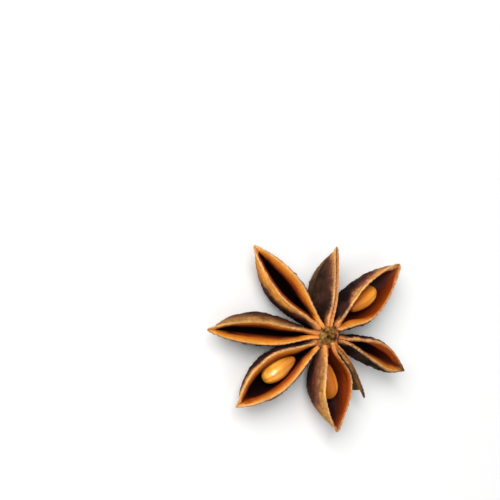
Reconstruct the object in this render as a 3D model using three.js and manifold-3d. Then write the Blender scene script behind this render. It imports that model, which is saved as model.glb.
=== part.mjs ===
// A dried star anise pod: eight woody boat-shaped follicles round a short central column.
// Millimetres, +Z up. The origin is the middle of the broken stalk's scar, in the plane that
// the pod rests on, and the star's rims face up.

import * as THREE from 'three';
import { LoftGeometry } from 'three/addons/geometries/LoftGeometry.js';
import { mergeVertices } from 'three/addons/utils/BufferGeometryUtils.js';
import Module from 'manifold-3d';

// ---- Driving dimensions ----

const RIM_HEIGHT = 7.6; // the rims at the centre, above the resting plane
const INNER_END = 1.5; // where a follicle starts, from the axis
const LIP = 0.55; // half the width of a closed suture's two lips
const RIM_SLOPE_WIDTH = 1.25; // the slanted face inside each open rim, measured across
const RIM_SLOPE_SHARE = 0.38; // of the valve's width, where that makes it narrower
const RIM_SLOPE_DROP = 1.1; // how far that face goes down
const RIM_EDGE = 0.14; // the flat on top of the thin rim
const BELLY = 1.8; // how far a long follicle's flank bulges
const HOLLOW_BULGE = 0.4; // how much wider the hollow gets below the slanted face
const FLOOR_SHARE = 0.2; // woody floor under the hollow, as a share of the depth
const TWIST_END = 0.4; // a follicle has turned to its full roll at this share of its length
const ROLL_CENTRE = 0.35; // the roll turns about a line this share of the depth under the rim

const COLUMN_RADIUS = 2.3;
const COLUMN_TOP_RADIUS = 1.9;
const COLUMN_TOP_RECESS = 0.35; // under the rims
const PIT_RADIUS = 0.45;
const PIT_DEPTH = 0.4;
const STALK_RADIUS = 1.35; // the broken stalk under the column

const SEED_LENGTH = 7.1;
const SEED_HEIGHT = 4.9;
const SEED_THICKNESS = 4.1;
const SEED_TAPER = 0.42; // how much narrower it is at the end that faces the column

const LENGTH_STEPS = 20;
const FLANK_STEPS = 5;
const HOLLOW_STEPS = 4;

// Each follicle has the azimuth of its root, its length from the axis, its depth from rim to
// keel, its droop below the horizontal, the roll of its mouth, how far its left (anticlockwise)
// and right valves stand open, the share of the length where they stand widest, the rise of its
// rims in the middle and the sideways bend of its tip. Late is over 1 where the valves part
// late and then widely.
const FOLLICLES = [
  {
    azimuth: 130, length: 20.8, depth: 6.9, droop: 7, roll: -4,
    left: 1.8, right: 1.6, widest: 0.52, rise: 0.6, bend: 0.4,
  },
  {
    azimuth: 172, length: 23, depth: 7.15, droop: 7, roll: -24,
    left: 1.1, right: 1.5, widest: 0.53, rise: 0.4, bend: 0.7,
  },
  {
    azimuth: 212, length: 21.1, depth: 7, droop: 7, roll: 4,
    left: 2.2, right: 2.9, widest: 0.54, rise: 0.5, bend: 0.7,
  },
  {
    azimuth: 281, length: 16.9, depth: 6.3, droop: 8, roll: -17,
    left: 3.4, right: 3.2, widest: 0.48, rise: 0.6, bend: -0.5, late: 1.25,
  },
  {
    azimuth: 321.4, length: 15.3, depth: 5.3, droop: 15, roll: -14,
    left: 0, right: 0, widest: 0.5, rise: 0.2, bend: -2.4,
  },
  {
    azimuth: 352, length: 18.9, depth: 5.8, droop: 8, roll: 2,
    left: 1.7, right: 1.8, widest: 0.68, rise: 0.9, bend: -3.6, late: 1.5,
  },
  {
    azimuth: 34, length: 21.7, depth: 7, droop: 8, roll: 8,
    left: 2.2, right: 2.6, widest: 0.5, rise: 0.6, bend: 0.7,
  },
  {
    azimuth: 79.5, length: 15.9, depth: 6, droop: 8, roll: 20,
    left: 0.1, right: 0.1, widest: 0.5, rise: 0.3, bend: 0.2,
  },
];
const HOOKED = 4; // the shut follicle with a long hooked beak
// The follicles that still hold a seed. The place is its middle as a share of the length, the
// size is a share of the full seed above, it leans aside towards the left valve, and its
// highest line lies a drop under the rims.
const SEEDED = [
  { follicle: 2, place: 0.45, size: 0.98, aside: 0.2, drop: -0.35 },
  { follicle: 3, place: 0.43, size: 0.9, aside: 0.1, drop: 0.25 },
  { follicle: 6, place: 0.5, size: 0.96, aside: 0.1, drop: 0 },
];
const HOOK_SHARE = 0.15; // share of its length that is the beak
const SHORT_LENGTH = 16; // follicles shorter than this are thinner
const SHORT_BELLY = 1.4;
const PLAIN_BEAK = 0.06; // share of the length that is the blunt beak at the tip

const POD_COLOUR = 0x6d3d1c;
const SEED_COLOUR = 0xc8741f;

// ---- Profiles along a follicle, by the share u of its length ----

// Rises from root at the column to 1 at the peak and falls to 0 at the tip.
function swell(u, peak, root, rootPower, tipPower) {
  if (u < peak) {
    return root + (1 - root) * Math.sin((Math.PI / 2) * (u / peak)) ** rootPower;
  }
  return Math.sin((Math.PI / 2) * ((1 - u) / (1 - peak))) ** tipPower;
}

const gapeProfile = (u, widest) => swell(u, widest, 0, 1.85, 1);
const depthProfile = (u) => swell(u, 0.47, 0.42, 1, 0.72);
const bellyProfile = (u) => swell(u, 0.48, 0.4, 1.2, 0.9);
const hookedDepthProfile = (u) => swell(u, 0.47, 0.42, 1, 0.3);
const hookedBellyProfile = (u) => swell(u, 0.6, 0.3, 1.2, 0.4);
const lipProfile = (u) => Math.sqrt(1 - u ** 12);

// ---- One follicle ----

// The depth, belly, valves and rim height of a follicle at the share u of its length.
function follicleAt(follicle, u) {
  const hooked = follicle === FOLLICLES[HOOKED];
  const bodyShare = Math.min(u / (1 - (hooked ? HOOK_SHARE : PLAIN_BEAK)), 1);
  const beakDepth = 0.16 * follicle.depth * Math.sqrt(1 - u ** 3);
  const depth = hooked ? hookedDepthProfile(bodyShare) : depthProfile(bodyShare);
  const belly = hooked ? hookedBellyProfile(bodyShare) : bellyProfile(u);
  const lip = LIP * lipProfile(u) * (hooked ? 0.7 : 1);
  const gape = gapeProfile(u, follicle.widest) ** (follicle.late ?? 1);
  return {
    along: INNER_END + (follicle.length - INNER_END) * u,
    depth: Math.max(follicle.depth * depth, beakDepth),
    belly: (follicle.length < SHORT_LENGTH ? SHORT_BELLY : BELLY) * belly,
    left: lip + follicle.left * gape,
    right: lip + follicle.right * gape,
    rim: follicle.rise * Math.sin(Math.PI * u),
  };
}

// How far the flank stands out at a height h, from 0 at the keel to 1 at the rim.
function flankAt(belly, rimWidth, h) {
  const bulge = 2.1 * h ** 0.55 * (1 - h) ** 0.75;
  return belly * bulge + rimWidth * h ** 0.9;
}

// One valve's half of the section as [across, height] pairs: up the flank from above the keel
// to the rim, over its thin edge, down the slanted face and down the hollow's wall.
function valveSection(place, rimWidth) {
  const points = [];
  for (let i = 1; i <= FLANK_STEPS; i++) {
    const h = (i / FLANK_STEPS) ** 1.3;
    points.push([flankAt(place.belly, rimWidth, h), place.rim - place.depth * (1 - h)]);
  }
  const openness = THREE.MathUtils.smoothstep(rimWidth, LIP, LIP + RIM_SLOPE_WIDTH);
  const edge = Math.min(RIM_EDGE, 0.2 * rimWidth);
  const slopeWidth = Math.min(RIM_SLOPE_WIDTH, RIM_SLOPE_SHARE * rimWidth);
  const mouth = (rimWidth - edge - slopeWidth) * (0.3 + 0.7 * openness);
  const slopeDrop = Math.min(RIM_SLOPE_DROP * (0.25 + 0.75 * openness), 0.3 * place.depth);
  const fullHollow = place.depth * (1 - FLOOR_SHARE) - slopeDrop;
  const hollowDepth = Math.max(fullHollow * openness, 0.06 * place.depth);
  points.push([rimWidth - edge, place.rim - 0.02 * place.depth]);
  for (let i = 0; i < HOLLOW_STEPS; i++) {
    const s = i / HOLLOW_STEPS;
    const wall = mouth * Math.sqrt(1 - s ** 2.5) + HOLLOW_BULGE * openness * Math.sin(Math.PI * s);
    points.push([wall, place.rim - slopeDrop - hollowDepth * s]);
  }
  return { points, floor: place.rim - slopeDrop - hollowDepth };
}

// The closed section, anticlockwise as seen from the tip, turned by the follicle's roll.
function follicleSection(follicle, u) {
  const place = follicleAt(follicle, u);
  const left = valveSection(place, place.left);
  const right = valveSection(place, place.right);
  const outline = [[0, place.rim - place.depth]];
  outline.push(...left.points);
  outline.push([0, Math.min(left.floor, right.floor)]);
  outline.push(...right.points.map(([across, height]) => [-across, height]).reverse());

  const turn = THREE.MathUtils.degToRad(follicle.roll) * THREE.MathUtils.smoothstep(u, 0, TWIST_END);
  const centre = -ROLL_CENTRE * follicle.depth;
  const shift = follicle.bend * (place.along / follicle.length) ** 2;
  return outline.map(([across, height]) => {
    const y = across * Math.cos(turn) - (height - centre) * Math.sin(turn) + shift;
    const z = across * Math.sin(turn) + (height - centre) * Math.cos(turn) + centre;
    return new THREE.Vector3(place.along, y, z);
  });
}

function follicleGeometry(follicle) {
  const sections = [];
  for (let i = 0; i <= LENGTH_STEPS; i++) {
    const u = 1 - (1 - i / LENGTH_STEPS) ** 1.35;
    sections.push(follicleSection(follicle, Math.min(u, 0.997)));
  }
  return new LoftGeometry(sections, { capStart: true, capEnd: true });
}

// The frame that carries a follicle: its root on the axis at rim height, pointing out and down.
function follicleFrame(follicle) {
  const frame = new THREE.Group();
  frame.position.z = RIM_HEIGHT;
  frame.rotation.order = 'ZYX';
  frame.rotation.z = THREE.MathUtils.degToRad(follicle.azimuth);
  frame.rotation.y = THREE.MathUtils.degToRad(follicle.droop);
  frame.updateMatrixWorld(true);
  return frame;
}

// ---- The central column with its pitted top and the broken stalk below ----

function columnGeometry() {
  const top = RIM_HEIGHT - COLUMN_TOP_RECESS;
  const profile = [
    new THREE.Vector2(0, 0),
    new THREE.Vector2(STALK_RADIUS, 0),
    new THREE.Vector2(STALK_RADIUS * 0.93, 0.12 * top),
    new THREE.Vector2(STALK_RADIUS * 1.25, 0.26 * top),
    new THREE.Vector2(COLUMN_RADIUS, 0.42 * top),
    new THREE.Vector2(COLUMN_RADIUS, 0.7 * top),
    new THREE.Vector2(COLUMN_TOP_RADIUS, 0.95 * top),
    new THREE.Vector2(COLUMN_TOP_RADIUS * 0.85, top),
    new THREE.Vector2(PIT_RADIUS, top - 0.2 * PIT_DEPTH),
    new THREE.Vector2(PIT_RADIUS * 0.5, top - PIT_DEPTH),
    new THREE.Vector2(0, top - PIT_DEPTH),
  ];
  return new THREE.LatheGeometry(profile, 16).rotateX(Math.PI / 2);
}

// ---- Joining the follicles and the column into one solid ----

const wasm = await Module();
wasm.setup();

function toManifold(geometry) {
  const bare = geometry.index ? geometry.toNonIndexed() : geometry.clone();
  bare.deleteAttribute('normal');
  bare.deleteAttribute('uv');
  const merged = mergeVertices(bare, 1e-4);
  const corners = merged.index.array;
  const triangles = [];
  for (let i = 0; i < corners.length; i += 3) {
    const [a, b, c] = [corners[i], corners[i + 1], corners[i + 2]];
    if (a !== b && b !== c && c !== a) {
      triangles.push(a, b, c);
    }
  }
  return new wasm.Manifold(new wasm.Mesh({
    numProp: 3,
    vertProperties: new Float32Array(merged.attributes.position.array),
    triVerts: new Uint32Array(triangles),
  }));
}

function toGeometry(solid) {
  const mesh = solid.getMesh();
  const geometry = new THREE.BufferGeometry();
  geometry.setAttribute('position', new THREE.BufferAttribute(mesh.vertProperties, 3));
  geometry.setIndex(new THREE.BufferAttribute(mesh.triVerts, 1));
  geometry.computeVertexNormals();
  return geometry;
}

function podGeometry() {
  let solid = toManifold(columnGeometry());
  for (const follicle of FOLLICLES) {
    const geometry = follicleGeometry(follicle).applyMatrix4(follicleFrame(follicle).matrixWorld);
    solid = solid.add(toManifold(geometry));
  }
  const footprint = 60;
  const below = new THREE.BoxGeometry(footprint, footprint, 4).translate(0, 0, -2);
  return toGeometry(solid.subtract(toManifold(below)));
}

// ---- A seed: a flattened ovoid standing on edge, narrower at the end facing the column ----

function seedGeometry() {
  const geometry = new THREE.SphereGeometry(1, 16, 12).rotateZ(Math.PI / 2);
  const points = geometry.attributes.position;
  for (let i = 0; i < points.count; i++) {
    const along = points.getX(i);
    const fullness = 1 - (SEED_TAPER / 2) * (1 - along);
    points.setXYZ(
      i,
      (along * SEED_LENGTH) / 2,
      (points.getY(i) * fullness * SEED_THICKNESS) / 2,
      (points.getZ(i) * fullness * SEED_HEIGHT) / 2,
    );
  }
  geometry.deleteAttribute('normal');
  geometry.deleteAttribute('uv');
  const closed = mergeVertices(geometry, 1e-4);
  return toGeometry(toManifold(closed));
}

// ---- The part ----

const part = new THREE.Group();

const pod = new THREE.Mesh(
  podGeometry(),
  new THREE.MeshStandardMaterial({ color: POD_COLOUR, roughness: 0.75, metalness: 0 }),
);
pod.name = 'pod';
part.add(pod);

SEEDED.forEach((seeded, count) => {
  const follicle = FOLLICLES[seeded.follicle];
  const place = follicleAt(follicle, seeded.place);
  const turned = new THREE.Group();
  turned.position.set(place.along, follicle.bend * (place.along / follicle.length) ** 2, 0);
  turned.position.z = -ROLL_CENTRE * follicle.depth;
  turned.rotation.x = THREE.MathUtils.degToRad(follicle.roll);
  const seed = new THREE.Mesh(
    seedGeometry().scale(seeded.size, seeded.size, seeded.size),
    new THREE.MeshStandardMaterial({ color: SEED_COLOUR, roughness: 0.25, metalness: 0 }),
  );
  seed.name = `seed_${count + 1}`;
  const sideways = (place.left - place.right) / 2 + seeded.aside;
  const height = place.rim - seeded.drop - (SEED_HEIGHT * seeded.size) / 2;
  seed.position.set(0, sideways, height + ROLL_CENTRE * follicle.depth);
  turned.add(seed);
  const frame = follicleFrame(follicle);
  frame.add(turned);
  part.add(frame);
});

export default part;
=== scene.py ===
"""A dried star anise pod with the seeds that are left in it, open side up on a pale ground."""

import math

import bpy
from mathutils import Euler, Matrix, Vector


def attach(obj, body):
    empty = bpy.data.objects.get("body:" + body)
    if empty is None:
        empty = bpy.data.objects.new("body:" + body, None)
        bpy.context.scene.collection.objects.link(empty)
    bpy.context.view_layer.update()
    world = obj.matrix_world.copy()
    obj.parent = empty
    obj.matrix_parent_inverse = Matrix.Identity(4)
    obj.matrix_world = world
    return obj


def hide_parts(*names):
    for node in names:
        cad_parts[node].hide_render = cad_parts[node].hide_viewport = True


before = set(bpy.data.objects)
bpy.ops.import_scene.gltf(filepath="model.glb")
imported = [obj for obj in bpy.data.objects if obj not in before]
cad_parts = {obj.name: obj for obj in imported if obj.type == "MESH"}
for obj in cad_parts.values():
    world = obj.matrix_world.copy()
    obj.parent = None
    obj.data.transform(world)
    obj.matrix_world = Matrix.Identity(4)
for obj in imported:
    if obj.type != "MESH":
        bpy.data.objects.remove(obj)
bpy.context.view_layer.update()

# ---- The pod ---------------------------------------------------------------------------------
# The woody fruit wall of star anise: eight boat-shaped follicles joined round a short column
# that ends below in the broken stalk. Each follicle dries, and most of them split open along
# the seam on top, so that two thin lips stand round a smooth dark hollow.
# Sizes are in millimetres here and become metres at the end of the tree.

RIM_HEIGHT = 7.6            # the rims at the centre, above the ground
INNER_END = 1.5             # where a follicle starts, from the axis
LIP = 0.55                  # half the width of a closed seam's two lips
LIP_AT_ROOT = 0.85          # of that, at the column, where the lips stand apart as blunt pegs
PEG_REACH = 0.7             # how much nearer the axis than that the lips can start
PEG_ROUNDING = 0.55         # over which a lip's blunt inner end, its peg, rounds off
PEG_DROP = 1.1              # and how far it falls there
SLOPE_SHARE = 0.65          # the slanted face is at most this share of the valve's width
SLOPE_FALL = 0.88           # its drop, as a share of its width
NO_GOLD_SLOPE = 0.22        # its share where it isn't golden
RIM_EDGE = 0.18             # the thickness of the thin rim
HOLLOW_BULGE = 0.25         # how much wider the hollow gets under the slanted face
FLOOR_SHARE = 0.2           # woody floor under the hollow, as a share of the depth
TWIST_END = 0.4             # a follicle has turned to its full roll at this share of its length
ROLL_CENTRE = 0.35          # the roll turns about a line this share of the depth under the rim
WRINKLE_DEPTH = 0.12        # of the creases in the dried skin
FOLLICLE_GRID = 92, 113     # points along a follicle and round its section
RIM_FROM = 0.27             # where the flank ends and the rim starts, from keel 0 to floor 0.5
SLOPE_FROM = 0.3            # where the slanted face starts
HOLLOW_FROM = 0.37          # and the hollow
GOLD_FADE = 0.25            # the share of the length over which the golden face comes and goes
SAME_PLACE = 0.002          # points nearer together than this are one
BEYOND = 99.0               # further out than any part of the pod
MM = 0.001                  # in metres

# Left is the anticlockwise valve. A peg is how far out from the inner end that lip starts.
# Tan and gold are the widths of the pale bands outside and inside the rim, and tip tan widens
# the tan one at the tip. The warm depth is where the red-brown wall has turned dark, partly its
# own colour and partly painted shade of the hollow; on some follicles it is set deeper to paint
# light onto a wall the lamps leave shaded. Before warm from the wall turns dark sooner, as
# painted shade near the column, and warm at tip is the share of the warm depth that is left
# at the tip. Green under 0 is golden instead.
FOLLICLES = [
    {"Azimuth": 130, "Length": 20.8, "Depth": 6.9, "Droop": 7, "Roll": -4, "Left gape": 1.8,
     "Right gape": 1.6, "Widest at": 0.52, "Late opening": 1.15, "Rise": 0.6, "Bend": 0.4,
     "Blunt": 0.1, "Left slope": 0.7, "Right slope": 1.2, "Left tan": 1.4, "Right tan": 0.3,
     "Left gold": 0.5, "Right gold": 1.25, "Warm depth": 2.5, "Green": -0.9, "Tip": 0.3,
     "Left peg": 0.3, "Right peg": -0.1},
    {"Azimuth": 172, "Length": 23, "Depth": 7.15, "Droop": 7, "Roll": -24, "Left gape": 1.1,
     "Right gape": 1.85, "Widest at": 0.53, "Rise": 0.4, "Bend": 0.7, "Belly": 1.6,
     "Blunt": -0.1, "Left slope": 1.3, "Right slope": 1.4, "Left tan": 0.25, "Right tan": 1.4,
     "Left gold": 1.35, "Right gold": 1.1, "Warm depth": 2.1, "Green": 0.55, "Tip": 0.3,
     "Left peg": 0.05, "Right peg": 0.1},
    {"Azimuth": 212, "Length": 21.1, "Depth": 7, "Droop": 7, "Roll": 4, "Left gape": 2.2,
     "Right gape": 2.9, "Widest at": 0.54, "Rise": 0.5, "Bend": 0.7, "Blunt": -0.35,
     "Left slope": 0.9, "Right slope": 1.25, "Left tan": 0.45, "Right tan": 0.3,
     "Left gold": 1, "Right gold": 1.2, "Warm depth": 2.7, "Warm at tip": 1.2, "Tip": 0.3,
     "Left peg": 0.8, "Right peg": 0.6},
    {"Azimuth": 281, "Length": 16.9, "Depth": 6.3, "Droop": 8, "Roll": -17, "Left gape": 3.4,
     "Right gape": 3.2, "Widest at": 0.48, "Late opening": 1.25, "Root gape": 0.4, "Rise": 0.6,
     "Bend": -0.5, "Blunt": 0.4, "Belly": 1.6, "Lip share": 1.2, "Left slope": 0.35,
     "Right slope": 0.4, "Left tan": 0.3, "Right tan": 1.8, "Root tan": 0.5, "Tip tan": 4,
     "Left gold": 0.1, "Right gold": 0.3, "Warm depth": 3.6, "Warm from": -0.2, "Tip": 0.4,
     "Left peg": -0.5, "Right peg": -0.35},
    {"Azimuth": 321.4, "Length": 15.3, "Depth": 5.3, "Droop": 15, "Roll": -14, "Left gape": 0,
     "Right gape": 0, "Widest at": 0.5, "Rise": 0.2, "Bend": -2.4, "Blunt": 0.2,
     "Belly": 1.2, "Beak share": 0.15, "Blunt keel": 1, "Lip share": 0.7, "Left slope": 0.3,
     "Right slope": 0.3, "Left tan": 0.2, "Right tan": 0.2, "Left gold": 0.1,
     "Right gold": 0.1, "Warm depth": 1.5, "Green": 1, "Tip": -0.6, "Left peg": 0,
     "Right peg": 0},
    {"Azimuth": 352, "Length": 18.9, "Depth": 5.8, "Droop": 8, "Roll": 2, "Left gape": 1.7,
     "Right gape": 1.8, "Widest at": 0.68, "Late opening": 1.1, "Rise": 0.9, "Bend": -3.6,
     "Belly": 1.5, "Lip share": 0.35, "Left slope": 0.9, "Right slope": 1.3, "Left tan": 0.32,
     "Right tan": 0.12, "Left gold": 0.3, "Right gold": 1.4, "Gold from": 0.36,
     "Warm depth": 4.5, "Warm from": 0.35, "Green": 0.1, "Tip": -1, "Left peg": 1.2,
     "Right peg": 1.2},
    {"Azimuth": 34, "Length": 21.7, "Depth": 7, "Droop": 8, "Roll": 8, "Left gape": 2.2,
     "Right gape": 2.6, "Widest at": 0.5, "Rise": 0.6, "Bend": 0.7, "Blunt": 0.25,
     "Left slope": 0.5, "Right slope": 1, "Left tan": 0.8, "Right tan": 0.25,
     "Left gold": 0.2, "Right gold": 1.6, "Gold to": 0.25, "Warm depth": 4.8,
     "Warm from": -1, "Tip": 0.6, "Left peg": 1, "Right peg": 1.2},
    {"Azimuth": 79.5, "Length": 15.9, "Depth": 6, "Droop": 8, "Roll": 20, "Left gape": 0.1,
     "Right gape": 0.1, "Widest at": 0.5, "Rise": 0.3, "Bend": 0.2, "Belly": 1.4, "Blunt": 0.3,
     "Lip share": 0.85, "Left slope": 0.5, "Right slope": 0.5, "Left tan": 0.5,
     "Right tan": 0.35, "Left gold": 0.3, "Right gold": 0.3, "Warm depth": 1.5, "Green": 0.3,
     "Tip": 0.3, "Left peg": 0.1, "Right peg": 0.1},
]
MARKS = ["from_rim", "relief", "tan", "gold", "warm", "green", "tip", "keel", "column"]

MATH = "ShaderNodeMath"
PLUS, MINUS, TIMES = (MATH, "ADD"), (MATH, "SUBTRACT"), (MATH, "MULTIPLY")
VECTOR = "ShaderNodeVectorMath"
MAP = "ShaderNodeMapRange"
CURVE = "ShaderNodeFloatCurve"
NOISE = "ShaderNodeTexNoise"
STORE = "GeometryNodeStoreNamedAttribute"


def linear(hex_colour):
    """An sRGB hex colour as linear red, green, blue and alpha."""
    parts = [int(hex_colour[i:i + 2], 16) / 255 for i in (0, 2, 4)]
    return (*[p / 12.92 if p <= 0.04045 else ((p + 0.055) / 1.055) ** 2.4 for p in parts], 1.0)


def add(tree, kind, *feeds, out=0, points=(), stops=(), **settings):
    """Adds a node with its settings and links, and gives back one of its outputs.

    A kind can hold its operation. Feeds go to the open sockets in order: a link, a value or a
    hex colour. A setting that starts with a capital is a socket by name. Points fill a curve,
    and stops a colour band.
    """
    if isinstance(kind, tuple):
        kind, settings["operation"] = kind
    node = tree.nodes.new(kind)
    for name, value in settings.items():
        if name[0].islower():
            setattr(node, name, value)
        else:
            node.inputs[name.replace("_", " ")].default_value = value
    for socket, value in zip([s for s in node.inputs if s.enabled], feeds):
        if isinstance(value, bpy.types.NodeSocket):
            tree.links.new(value, socket)
        elif isinstance(value, str) and socket.type == "RGBA":
            socket.default_value = linear(value)
        elif value is not None:
            socket.default_value = value
    if points:
        curve = node.mapping.curves[0].points
        curve[0].location, curve[1].location = points[0], points[-1]
        for x, y in points[1:-1]:
            curve.new(x, y)
        node.mapping.update()
    if stops:
        band = node.color_ramp.elements
        band[0].position, band[1].position = stops[0][0], stops[-1][0]
        band[0].color, band[1].color = linear(stops[0][1]), linear(stops[-1][1])
        for place, colour in stops[1:-1]:
            band.new(place).color = linear(colour)
    return [s for s in node.outputs if s.enabled][out]


def sampled(height_at, steps=32):
    """The points of a function from 0 to 1."""
    return [(i / steps, height_at(i / steps)) for i in range(steps + 1)]


def swell(u, peak, root, root_power, tip_power):
    """Rises from root at the column to 1 at the peak and falls to 0 at the tip."""
    if u < peak:
        return root + (1 - root) * math.sin(math.pi / 2 * u / peak) ** root_power
    return math.sin(math.pi / 2 * (1 - u) / (1 - peak)) ** tip_power


def eased(x, share):
    """Runs from 0 to 1 with a share of it slowed at both ends."""
    return (1 - share) * x + share * (0.5 - 0.5 * math.cos(math.pi * x))


def new_tree(name, sizes):
    """An empty tree with an input for each size, and those inputs to link from."""
    t = bpy.data.node_groups.new(name, "GeometryNodeTree")
    for size, value in sizes.items():
        kind = "NodeSocketVector" if isinstance(value, tuple) else "NodeSocketFloat"
        t.interface.new_socket(size, in_out="INPUT", socket_type=kind).default_value = value
    t.interface.new_socket("Geometry", in_out="OUTPUT", socket_type="NodeSocketGeometry")
    return t, t.nodes.new("NodeGroupInput").outputs


def follicle_tree():
    """One follicle, rim side up, made from a grid bent round a closed boat-shaped section."""
    t, given = new_tree("follicle", {
        "Azimuth": 0, "Length": 20, "Depth": 7, "Droop": 7, "Roll": 0, "Left gape": 2,
        "Right gape": 2, "Widest at": 0.5, "Rise": 0.5, "Bend": 0, "Belly": 1.8,
        "Late opening": 1, "Root gape": 0, "Blunt": 0, "Beak share": 0.06, "Blunt keel": 0,
        "Lip share": 1, "Left slope": 1.25, "Right slope": 1.25, "Left tan": 0.5,
        "Right tan": 0.5, "Root tan": 0, "Tip tan": 1, "Left gold": 1, "Right gold": 1,
        "Gold from": -1, "Gold to": 2, "Warm depth": 2, "Warm from": 0.05, "Warm at tip": 0.4,
        "Green": 0, "Tip": 0, "Left peg": 0.3, "Right peg": 0.3,
        "Wrinkle depth": WRINKLE_DEPTH, "Number": 0})

    grid = add(t, "GeometryNodeMeshGrid", 1.0, 1.0, *FOLLICLE_GRID)
    place = add(t, "GeometryNodeInputPosition")
    split = add(t, "ShaderNodeSeparateXYZ", place).node.outputs
    row = add(t, PLUS, split[0], 0.5)
    turn_share = add(t, PLUS, split[1], 0.5)

    # u runs from the column to the tip, closer set towards both ends.
    u = add(t, CURVE, 1.0, row, points=sampled(lambda x: eased(x, 0.6)))
    u = add(t, MATH, u, 0.997, operation="MINIMUM")
    along = add(t, MAP, u, 0.0, 1.0, INNER_END, given["Length"])
    reach = add(t, MAP, u, 0.0, 0.1, PEG_REACH, 0.0)
    along = add(t, MINUS, along, reach)
    past_root = add(t, MINUS, along, INNER_END)

    # w runs from the keel up the flank to the rim and down inside to the floor of the hollow.
    w = add(t, MATH, turn_share, 0.5, operation="PINGPONG")
    is_left = add(t, MATH, turn_share, 0.5, operation="LESS_THAN")
    h = add(t, MAP, w, 0.0, RIM_FROM, 0.0, 1.0)
    h = add(t, CURVE, 1.0, h, points=sampled(lambda x: eased(x, 0.5)))
    over_rim = add(t, MAP, w, RIM_FROM, SLOPE_FROM, 0.0, 1.0)
    down_slope = add(t, MAP, w, SLOPE_FROM, HOLLOW_FROM, 0.0, 1.0)
    down_hollow = add(t, MAP, w, HOLLOW_FROM, 0.5, 0.0, 1.0)

    # The values of this side's valve.
    side_values = {}
    for name in ("gape", "slope", "tan", "gold", "peg"):
        side_values[name] = add(t, "GeometryNodeSwitch", is_left, given[f"Right {name}"],
                                given[f"Left {name}"], input_type="FLOAT")

    # The depth, with the beak at the tip.
    body_end = add(t, MINUS, 1.0, given["Beak share"])
    body_u = add(t, MATH, u, body_end, operation="DIVIDE")
    body_u = add(t, MATH, body_u, 1.0, operation="MINIMUM")
    depth = add(t, CURVE, 1.0, body_u, points=sampled(lambda x: swell(x, 0.47, 0.42, 1, 0.72)))
    full_depth = add(t, CURVE, 1.0, body_u,
                     points=sampled(lambda x: swell(x, 0.47, 0.42, 1, 0.3), 64))
    depth = add(t, "ShaderNodeMix", given["Blunt keel"], depth, full_depth)
    depth = add(t, TIMES, depth, given["Depth"])
    beak = add(t, CURVE, 1.0, u, points=sampled(lambda x: 0.16 * math.sqrt(1 - x ** 3)))
    beak = add(t, TIMES, beak, given["Depth"])
    depth = add(t, MATH, depth, beak, operation="MAXIMUM")
    fullness = add(t, CURVE, 1.0, u, points=sampled(lambda x: swell(x, 0.48, 0.4, 1.2, 0.9)))
    full_to_end = add(t, CURVE, 1.0, body_u,
                      points=sampled(lambda x: swell(x, 0.6, 0.3, 1.2, 0.4), 64))
    fullness = add(t, "ShaderNodeMix", given["Blunt keel"], fullness, full_to_end)
    belly = add(t, TIMES, fullness, given["Belly"])
    rise = add(t, CURVE, 1.0, u, points=sampled(lambda x: math.sin(math.pi * x)))
    arch = add(t, TIMES, rise, given["Rise"])

    # The lips end at the column as blunt pegs, rounded from above and from the side.
    peg_end = add(t, PLUS, side_values["peg"], PEG_ROUNDING)
    peg = add(t, MAP, past_root, side_values["peg"], peg_end, 0.0, 1.0)
    peg = add(t, CURVE, 1.0, peg, points=sampled(lambda x: math.sqrt(1 - (1 - x) ** 2)))
    peg_drop = add(t, MAP, peg, 0.0, 1.0, -PEG_DROP, 0.0)
    rim = add(t, MATH, peg_drop, h, arch, operation="MULTIPLY_ADD")
    peg_width = add(t, MAP, peg, 0.0, 1.0, 0.5, 1.0)

    # How far this side's valve stands open.
    to_peak = add(t, MAP, u, 0.0, given["Widest at"], 0.0, 0.5)
    past_peak = add(t, MAP, u, given["Widest at"], 1.0, 0.0, 0.5)
    gape_u = add(t, PLUS, to_peak, past_peak)
    gape = add(t, CURVE, 1.0, gape_u, points=sampled(lambda x: swell(x, 0.5, 0, 1.85, 1)))
    gape = add(t, MATH, gape, given["Late opening"], operation="POWER")
    gape = add(t, TIMES, gape, side_values["gape"])
    root_gape = add(t, MAP, u, 0.0, 0.35, given["Root gape"], 0.0)
    gape = add(t, PLUS, gape, root_gape)
    lip = add(t, CURVE, 1.0, u, points=sampled(
        lambda x: LIP * math.sqrt(1 - x ** 12)
        * (LIP_AT_ROOT + (1 - LIP_AT_ROOT) * math.sin(math.pi / 2 * min(x / 0.2, 1)))))
    lip = add(t, TIMES, lip, given["Lip share"])
    lip = add(t, TIMES, lip, peg_width)
    blunt = add(t, CURVE, 1.0, u, points=sampled(lambda x: x ** 10 * math.sqrt(1 - x ** 30), 64))
    blunt = add(t, TIMES, blunt, given["Blunt"])
    opened = add(t, PLUS, gape, blunt)
    rim_width = add(t, PLUS, lip, opened)
    rim_width = add(t, MATH, rim_width, 0.08, operation="MAXIMUM")
    openness = add(t, MAP, opened, 0.0, 0.65, 0.0, 1.0, interpolation_type="SMOOTHSTEP")

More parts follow.
